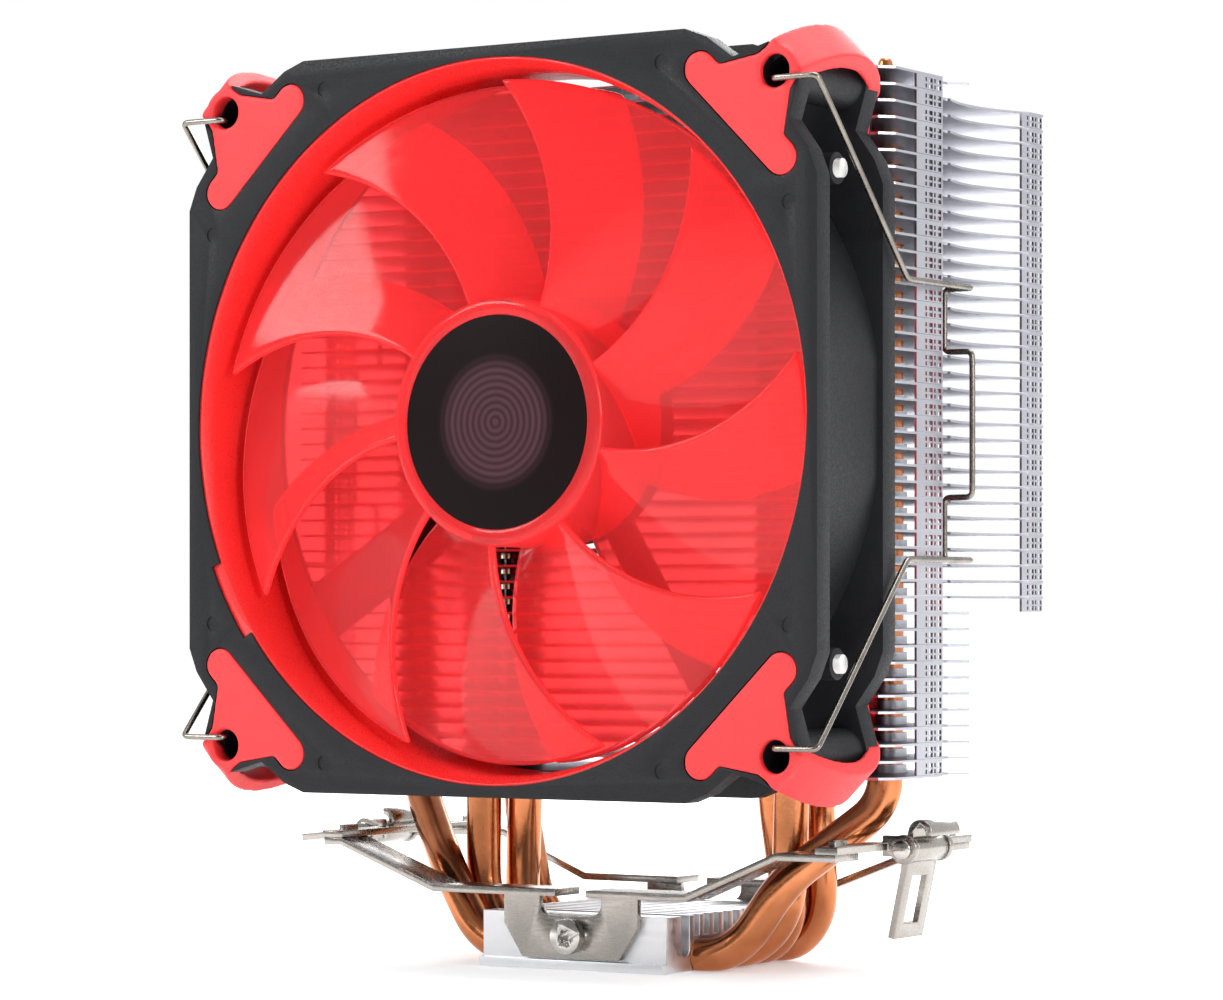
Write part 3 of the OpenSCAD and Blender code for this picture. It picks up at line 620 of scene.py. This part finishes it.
def collar(sizes, centre):
    """One collar: a short open tube with a small foot where it leaves the sheet."""
    inner = sizes.collar_bore
    outer = inner + sizes.collar_wall
    height = sizes.collar_height
    only_deselect()
    bpy.ops.mesh.primitive_cylinder_add(
        vertices=20, radius=outer, depth=height, end_fill_type="NOTHING",
        location=centre + Vector((0, 0, height / 2)))
    obj = bpy.context.object
    bpy.ops.object.mode_set(mode="EDIT")
    bpy.ops.mesh.select_all(action="DESELECT")
    work = bmesh.from_edit_mesh(obj.data)
    for e in work.edges:
        e.select_set(all(v.co.z > 0 for v in e.verts))
    bmesh.update_edit_mesh(obj.data)
    bpy.ops.mesh.extrude_edges_move()
    bpy.ops.transform.resize(value=(inner / outer, inner / outer, 1),
                             center_override=centre + Vector((0, 0, height)))
    bpy.ops.mesh.select_all(action="DESELECT")
    work = bmesh.from_edit_mesh(obj.data)
    for e in work.edges:
        e.select_set(all(v.co.z < 0 for v in e.verts))
    bmesh.update_edit_mesh(obj.data)
    bpy.ops.mesh.extrude_edges_move()
    flare = (outer + sizes.collar_foot) / outer
    bpy.ops.transform.resize(value=(flare, flare, 1), center_override=centre)
    bpy.ops.object.mode_set(mode="OBJECT")
    bpy.ops.object.transform_apply(location=True)
    return obj


class COOLER_OT_fan_frame(Operator):
    """Make the black fan frame and the red ring that lines it"""
    bl_idname = "cooler.fan_frame"
    bl_label = "Fan frame and duct ring"

    def execute(self, context):
        sizes = context.scene.cooler_fan
        shell = refined("fan_frame", "frame_shell", sizes.moulded_edge)
        dress(shell, FINISH["frame"], BODY, ["fan_frame"])
        ring = refined("duct_ring", "red_duct", sizes.moulded_edge)
        dress(ring, FINISH["ring"], BODY, ["duct_ring"])
        return {"FINISHED"}


class COOLER_OT_corner_pads(Operator):
    """Make the four soft corner pads"""
    bl_idname = "cooler.corner_pads"
    bl_label = "Corner pads"

    def execute(self, context):
        sizes = context.scene.cooler_fan
        for k in range(1, 5):
            pad = refined(f"corner_pad_{k}", f"soft_pad_{k}")
            modify(pad, "REMESH", mode="VOXEL", voxel_size=sizes.pad_voxel)
            modify(pad, "SMOOTH", factor=0.5, iterations=14)
            only(pad)
            bpy.ops.object.shade_smooth()
            dress(pad, FINISH["pad"], BODY, [f"corner_pad_{k}"])
        return {"FINISHED"}


class COOLER_OT_lamps(Operator):
    """Make the four lamps in the frame's sides"""
    bl_idname = "cooler.lamps"
    bl_label = "Lamps"

    def execute(self, context):
        lamps = refined("leds", "lamp_lenses")
        dress(lamps, FINISH["lamp"], BODY, ["leds"])
        return {"FINISHED"}


class COOLER_OT_impeller(Operator):
    """Make the impeller's hub and its swept blades"""
    bl_idname = "cooler.impeller"
    bl_label = "Impeller"

    def execute(self, context):
        sizes = context.scene.cooler_fan
        low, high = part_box("impeller")
        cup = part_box("rotor_cup")
        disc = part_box("hub_disc")
        centre = middle("hub_disc")
        centre.y = 0
        front, rear = low.y, high.y
        disc_r = (disc[1].x - disc[0].x) / 2 + 0.1 * MM
        cup_r = (cup[1].x - cup[0].x) / 2 + 0.05 * MM
        hub_r = cup_r + 1.25 * MM
        bore_r = 1.6 * MM
        lip, soft, slope = 1.1 * MM, 0.5 * MM, 0.15 * MM
        floor = disc[1].y
        inside = cup[0].y - 0.05 * MM
        profile = [
            (bore_r, floor), (disc_r, floor), (disc_r, front + 0.1 * MM),
            (disc_r + slope, front), (hub_r - lip, front),
            (hub_r - soft, front + slope), (hub_r - slope, front + soft),
            (hub_r, front + lip), (hub_r, rear), (cup_r, rear), (cup_r, inside),
            (bore_r, inside)]
        hub = turned("impeller_hub", profile, centre)
        dress(hub, FINISH["blade"], "impeller", ["impeller"])
        blade = swept_blade(sizes, centre, hub_r - soft, high.z - centre.z, front, rear)
        parts = [blade]
        for k in range(1, sizes.blades):
            copy = blade.copy()
            copy.data = blade.data.copy()
            bpy.context.scene.collection.objects.link(copy)
            turn = Matrix.Rotation(k * math.tau / sizes.blades, 4, "Y")
            shift = Matrix.Translation(centre)
            copy.data.transform(shift @ turn @ shift.inverted())
            parts.append(copy)
        vanes = joined("impeller_blades", parts)
        only(vanes)
        bpy.ops.object.shade_smooth_by_angle(angle=math.radians(50))
        dress(vanes, FINISH["blade"], "impeller", ["impeller"])
        return {"FINISHED"}


def swept_blade(sizes, centre, root_r, tip_r, front, rear):
    """One sickle-shaped blade: a grid bent by formula, then given its wall."""
    across, along = 26, 34
    # Room in front of a blade and what is left of the hub's depth, at its root and at its tip
    root_room, tip_room = 0.9 * MM, 2.5 * MM
    root_short, tip_short = 1.8 * MM, 7.4 * MM
    hollow, lead = 1.1 * MM, 1.4
    only_deselect()
    bpy.ops.mesh.primitive_grid_add(x_subdivisions=across, y_subdivisions=along, size=1)
    obj = bpy.context.object
    for v in obj.data.vertices:
        t, u = v.co.x + 0.5, v.co.y + 0.5
        width = sizes.root_angle + (sizes.tip_angle - sizes.root_angle) * u
        ahead = sizes.sweep * u ** lead
        angle = ahead + (0.5 - t) * width
        r = root_r + (tip_r - root_r) * u
        start = front + root_room + (tip_room - root_room) * u
        depth = (rear - front) - root_short - (tip_short - root_short) * u
        camber = hollow * math.sin(math.pi * t)
        y = start + depth * t - camber
        v.co = Vector((centre.x + r * math.cos(angle), y, centre.z + r * math.sin(angle)))
    modify(obj, "SOLIDIFY", thickness=sizes.blade_wall, offset=0)
    modify(obj, "BEVEL", width=sizes.blade_wall * 0.4, segments=3, limit_method="ANGLE",
           angle_limit=math.radians(50))
    only(obj)
    bpy.ops.object.mode_set(mode="EDIT")
    bpy.ops.mesh.select_all(action="SELECT")
    bpy.ops.mesh.normals_make_consistent(inside=False)
    bpy.ops.object.mode_set(mode="OBJECT")
    return obj


class COOLER_OT_hub_disc(Operator):
    """Make the foil disc on the hub"""
    bl_idname = "cooler.hub_disc"
    bl_label = "Hub disc"

    def execute(self, context):
        disc = refined("hub_disc", "foil_disc", 0.06 * MM)
        dress(disc, FINISH["disc"], "impeller", ["hub_disc"])
        return {"FINISHED"}


class COOLER_OT_motor(Operator):
    """Make the motor's turning and standing parts"""
    bl_idname = "cooler.motor"
    bl_label = "Motor"

    def execute(self, context):
        edge = context.scene.cooler_metal.turned_edge
        # The windings get a large rounding, since wire is wound over each pole in a soft heap
        rounding = {"stator_coils": (1.1 * MM, 4)}
        for node, finish, slot, body in (
                ("rotor_cup", "cup", "rotor_steel", "impeller"),
                ("magnet_ring", "magnet", "magnet_rubber", "impeller"),
                ("shaft", "shaft", "shaft_steel", "impeller"),
                ("shaft_clip", "clip", "clip_steel", "impeller"),
                ("bearing", "bronze", "bearing_bronze", BODY),
                ("bearing_tube", "brass", "tube_brass", BODY),
                ("stator_core", "core", "core_steel", BODY),
                ("stator_coils", "coil", "winding_copper", BODY),
                ("circuit_board", "board", "board", BODY)):
            part = refined(node, f"motor_{node}", *rounding.get(node, (edge, 2)))
            dress(part, FINISH[finish], body, [node])
        return {"FINISHED"}


class COOLER_OT_wire_clips(Operator):
    """Make the two wire clips that hold the fan"""
    bl_idname = "cooler.wire_clips"
    bl_label = "Wire clips"

    def execute(self, context):
        for side in ("left", "right"):
            clip = rounded_sweep(f"wire_clip_{side}", f"wire_{side}", 2)
            modify(clip, "DISPLACE", strength=0.035 * MM, mid_level=0)
            dress(clip, FINISH["wire"], f"clip_{side}", [f"wire_clip_{side}"])
        return {"FINISHED"}


class COOLER_OT_brackets(Operator):
    """Make the brackets, their screws, the end plates, the pins and the hooks"""
    bl_idname = "cooler.brackets"
    bl_label = "Brackets and hooks"

    def execute(self, context):
        edge = context.scene.cooler_metal.sheet_edge
        for node, name, finish, slot, body in (
                ("front_bracket", "bracket_front", "nickel", "bracket_steel", BODY),
                ("rear_bracket", "bracket_rear", "nickel", "bracket_steel", BODY),
                ("end_plate_left", "plate_left", "nickel", "bracket_steel", BODY),
                ("end_plate_right", "plate_right", "nickel", "bracket_steel", BODY),
                ("bracket_screws", "screws", "screw", "screw_steel", BODY),
                ("hook_pins", "pins", "screw", "screw_steel", BODY),
                ("hook_left", "latch_left", "nickel", "bracket_steel", "hook_left"),
                ("hook_right", "latch_right", "nickel", "bracket_steel", "hook_right")):
            part = refined(node, name, edge)
            dress(part, FINISH[finish], body, [node])
        return {"FINISHED"}


class COOLER_OT_stage(Operator):
    """Make the floor, the lights and the camera"""
    bl_idname = "cooler.stage"
    bl_label = "Floor, lights and camera"

    def execute(self, context):
        scene = context.scene
        only_deselect()
        bpy.ops.mesh.primitive_plane_add(size=40, location=(0, 0, -0.1 * MM))
        floor = context.object
        floor.name = floor.data.name = "floor"
        bpy.ops.object.transform_apply(location=True)
        # Seamless white paper: even, with the faintest mottling
        floor.data.materials.append(surface(
            "white paper", linear("#FBFBFB"), linear("#F6F6F6"), 400, 3, 0.05, 0.8, 0.05,
            Emission_Color=(1, 1, 1, 1), Emission_Strength=0.3))
        world = bpy.data.worlds.new("studio")
        world.use_nodes = True
        scene.world = world
        sky = world.node_tree
        # A white sweep behind the piece that falls off to grey behind the viewer
        toward = add(sky, "ShaderNodeSeparateXYZ",
                     {"Vector": add(sky, "ShaderNodeTexCoord").outputs["Generated"]})
        level = add(sky, "ShaderNodeMapRange",
                    {"Value": toward.outputs["Y"], "From Min": -0.9, "From Max": 0.35,
                     "To Min": 0.3, "To Max": 1.0}, interpolation_type="SMOOTHSTEP")
        sky.nodes["Background"].inputs["Color"].default_value = (1, 1, 1, 1)
        sky.links.new(level.outputs["Result"], sky.nodes["Background"].inputs["Strength"])
        for name, spot, width, watts in LIGHTS:
            data = bpy.data.lights.new(name, "AREA")
            data.size = width
            data.energy = watts
            light = bpy.data.objects.new(name, data)
            light.location = spot
            light.rotation_euler = (AIM - Vector(spot)).to_track_quat("-Z", "Y").to_euler()
            scene.collection.objects.link(light)
        data = bpy.data.cameras.new("camera")
        data.sensor_width = SENSOR
        data.lens = LENS
        data.shift_y = RISE
        camera = bpy.data.objects.new("camera", data)
        camera.location = CAMERA_AT
        camera.rotation_euler = Euler((math.pi / 2, 0, CAMERA_TURN))
        scene.collection.objects.link(camera)
        scene.camera = camera
        scene.view_settings.view_transform = "Standard"
        return {"FINISHED"}


STEPS = (
    COOLER_OT_stage, COOLER_OT_base_block, COOLER_OT_heat_pipes, COOLER_OT_fins,
    COOLER_OT_fan_frame, COOLER_OT_corner_pads, COOLER_OT_lamps, COOLER_OT_impeller,
    COOLER_OT_hub_disc, COOLER_OT_motor, COOLER_OT_wire_clips, COOLER_OT_brackets)


class COOLER_PT_panel(Panel):
    """Lists the cooler's sizes, colours and pieces"""
    bl_idname = "COOLER_PT_panel"
    bl_label = "Tower cooler"
    bl_space_type = "VIEW_3D"
    bl_region_type = "UI"
    bl_category = "Cooler"

    def draw(self, context):
        for group in (context.scene.cooler_fan, context.scene.cooler_metal,
                      context.scene.cooler_colours):
            box = self.layout.box()
            for key in group.__annotations__:
                box.prop(group, key)
        for step in STEPS:
            self.layout.operator(step.bl_idname)


CLASSES = (FanSizes, MetalSizes, Colours, *STEPS, COOLER_PT_panel)


def register():
    for cls in CLASSES:
        bpy.utils.register_class(cls)
    bpy.types.Scene.cooler_fan = PointerProperty(type=FanSizes)
    bpy.types.Scene.cooler_metal = PointerProperty(type=MetalSizes)
    bpy.types.Scene.cooler_colours = PointerProperty(type=Colours)


def unregister():
    del bpy.types.Scene.cooler_colours
    del bpy.types.Scene.cooler_metal
    del bpy.types.Scene.cooler_fan
    for cls in reversed(CLASSES):
        bpy.utils.unregister_class(cls)


def main():
    register()
    FINISH.update(finishes())
    for step in STEPS:
        family, call = step.bl_idname.split(".")
        getattr(getattr(bpy.ops, family), call)()


if __name__ == "__main__":
    main()
